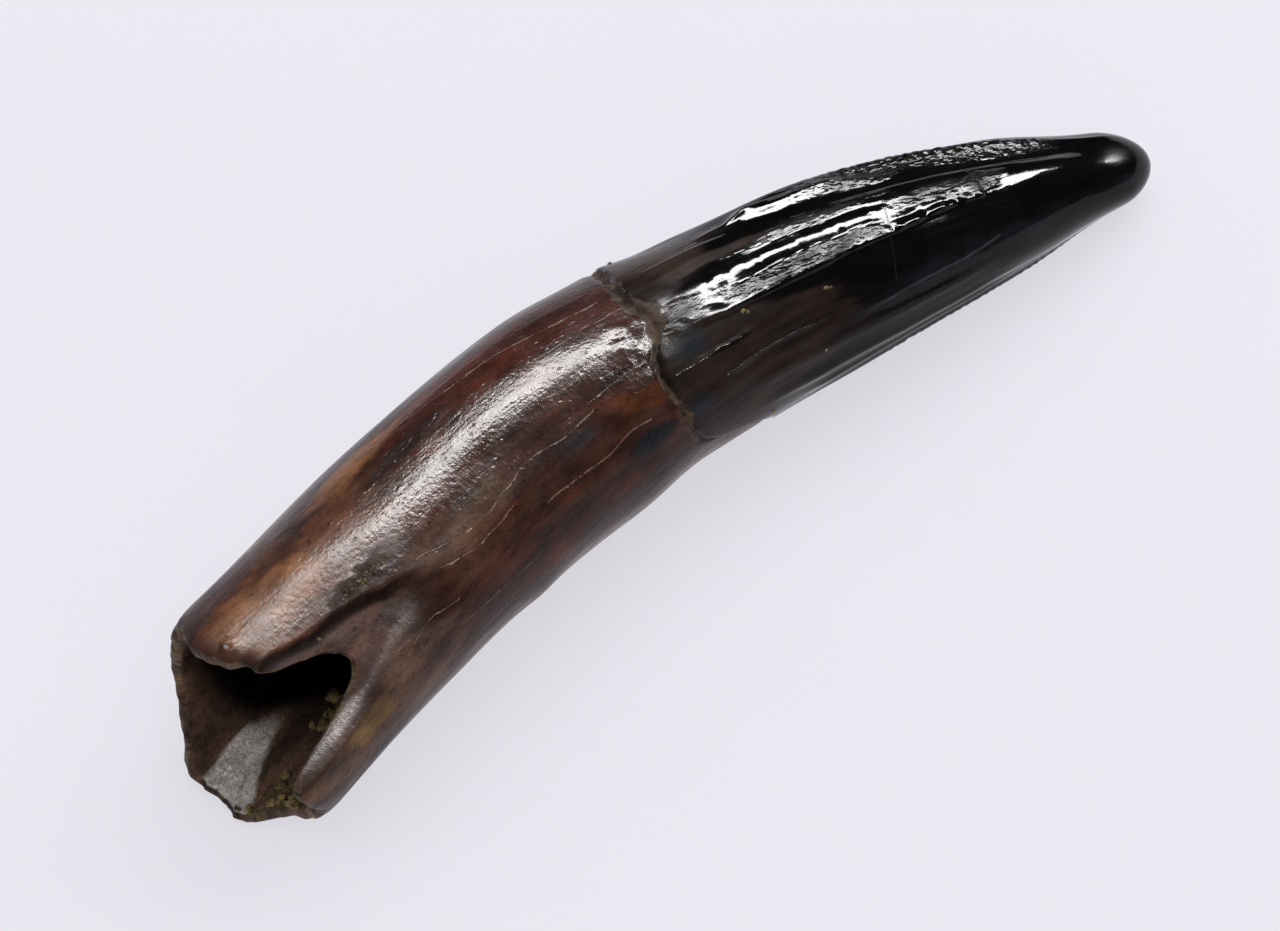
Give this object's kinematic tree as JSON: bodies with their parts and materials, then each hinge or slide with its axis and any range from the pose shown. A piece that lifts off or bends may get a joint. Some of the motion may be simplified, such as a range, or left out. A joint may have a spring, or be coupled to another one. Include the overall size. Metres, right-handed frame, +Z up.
{
  "type": "fossil crocodile tooth",
  "caption": "Curved conical fossil tooth lying on its side, with a ridged enamel crown, a smooth root, a broken notched base and an open pulp cavity.",
  "frame": {"origin": "centre of the tooth's outline in plan, on the surface it lies on", "axes": "+X along the chord from the broken base to the tip, +Y towards the outside of the curve, +Z up"},
  "size_m": [0.0288, 0.0074, 0.0053],
  "materials": {
    "tooth": "polished near-black enamel on the crown, satin dark red-brown dentine on the root, dull brown breaks"
  },
  "bodies": {
    "root": {"tooth": "tooth"}
  },
  "joints": []
}
